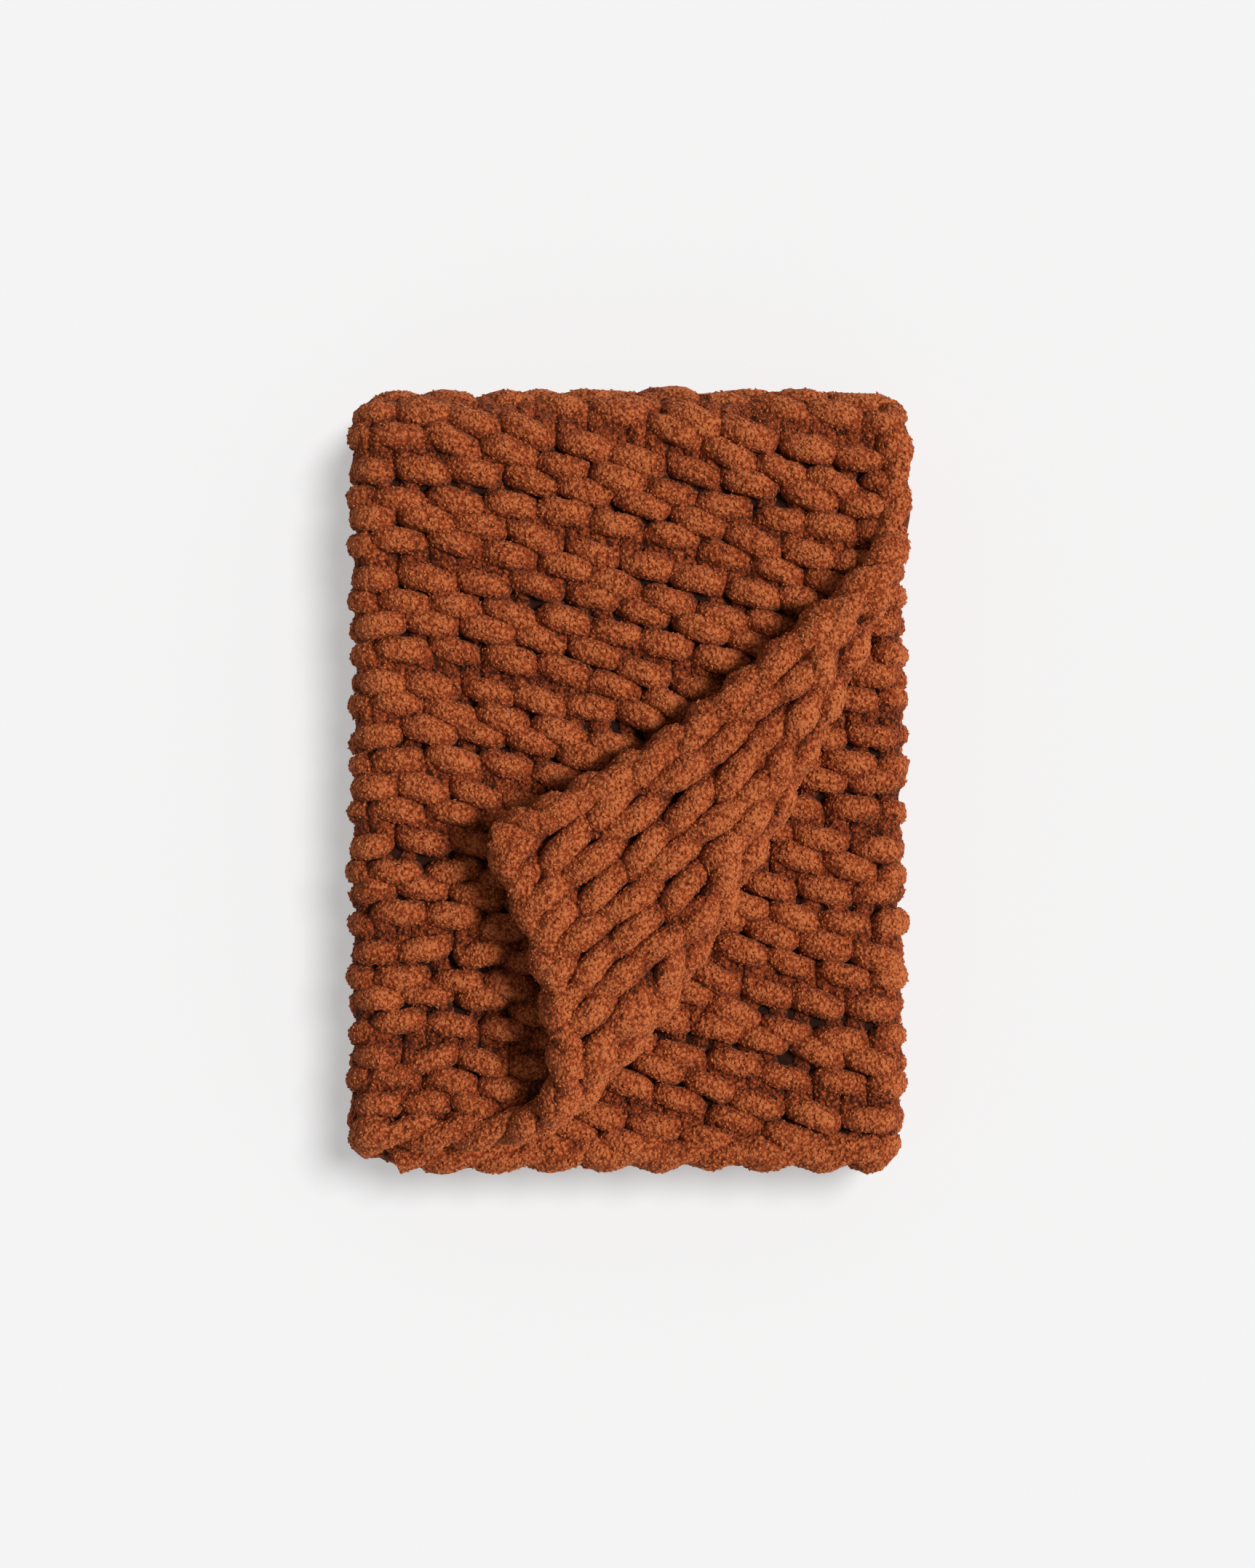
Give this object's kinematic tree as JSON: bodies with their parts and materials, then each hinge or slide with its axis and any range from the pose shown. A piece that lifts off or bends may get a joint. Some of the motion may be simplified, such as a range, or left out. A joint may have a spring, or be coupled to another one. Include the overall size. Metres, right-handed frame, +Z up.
{
  "type": "chunky knit blanket",
  "caption": "Chunky knitted chenille blanket, folded to a thick rectangular packet with one corner of its top layer turned back.",
  "frame": {"origin": "middle of the flat face that the folded packet rests on", "axes": "+X across the packet towards its free side edge, +Y along it towards its folded end, +Z up"},
  "size_m": [0.5082, 0.7021, 0.2123],
  "materials": {
    "chenille_yarn": "matt rust-coloured jumbo chenille yarn with a short dense pile, hand-knitted in reverse stocking stitch"
  },
  "bodies": {
    "root": {"knit_cloth": "chenille_yarn"}
  },
  "joints": []
}
